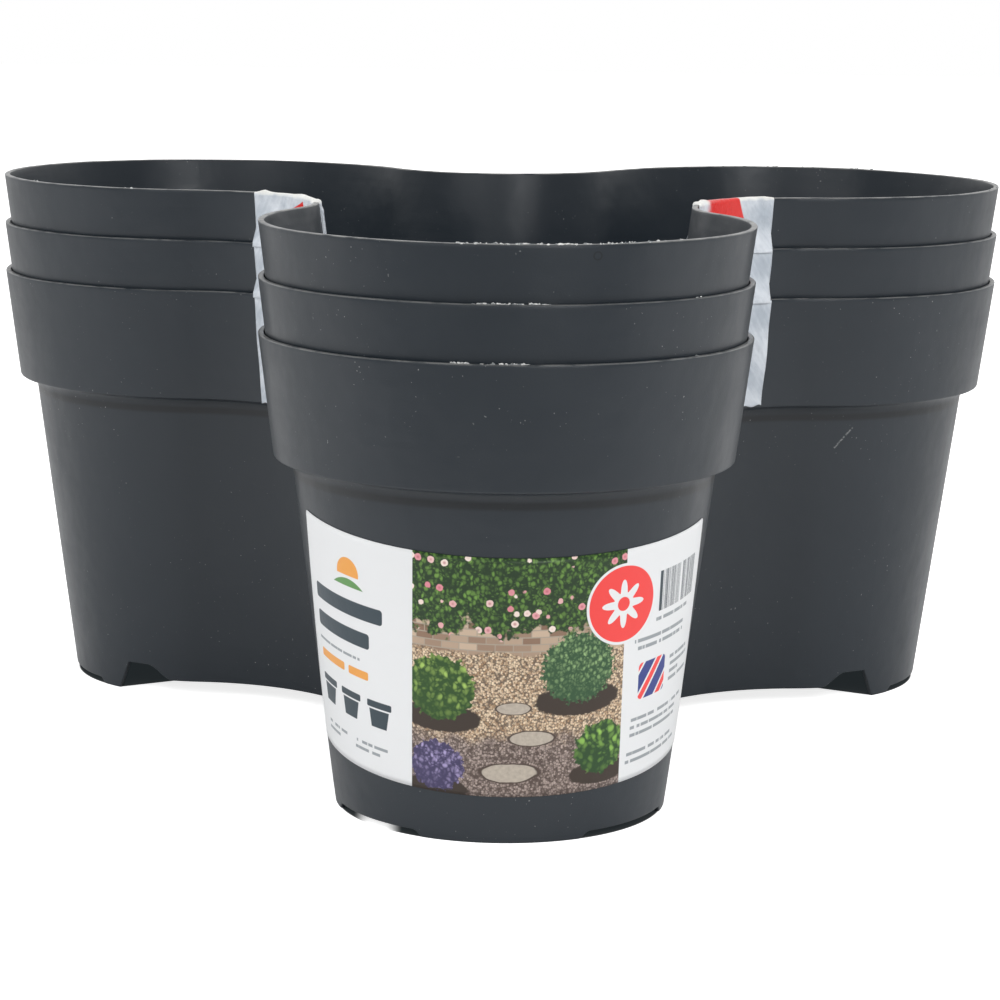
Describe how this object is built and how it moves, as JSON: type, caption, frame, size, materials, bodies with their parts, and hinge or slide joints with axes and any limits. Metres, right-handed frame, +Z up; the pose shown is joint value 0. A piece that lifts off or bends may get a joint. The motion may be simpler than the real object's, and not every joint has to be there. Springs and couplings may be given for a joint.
{
  "type": "tiered planter",
  "caption": "Stacking planter packed nested: alike lobed pots with a wide rim band, a raised drained floor and a notched skirt, a wrap label in front and packing tape over the rim.",
  "frame": {"origin": "on the ground, under the middle of the nested pack's box", "axes": "+X to the right across the two rear lobes, +Y to the rear, +Z up; the labelled lobe is at -Y"},
  "size_m": [0.3772, 0.348, 0.1916],
  "materials": {
    "pot_plastic": "charcoal, satin moulded plastic",
    "label_paper": "coated printed label",
    "tape_film": "thin wrinkled packing film"
  },
  "bodies": {
    "bottom": {"bottom_pot": "pot_plastic", "wrap_label": "label_paper", "left_tape_bottom": "tape_film", "right_tape_bottom": "tape_film"},
    "middle": {"middle_pot": "pot_plastic", "left_tape_middle": "tape_film", "right_tape_middle": "tape_film"},
    "top": {"top_pot": "pot_plastic", "left_tape_top": "tape_film", "right_tape_top": "tape_film"}
  },
  "joints": [
    {"name": "middle_lift", "type": "slide", "parent": "bottom", "child": "middle", "axis": [0, 0, 1], "range_m": [0, 0.16]},
    {"name": "top_lift", "type": "slide", "parent": "middle", "child": "top", "axis": [0, 0, 1], "range_m": [0, 0.16]}
  ]
}
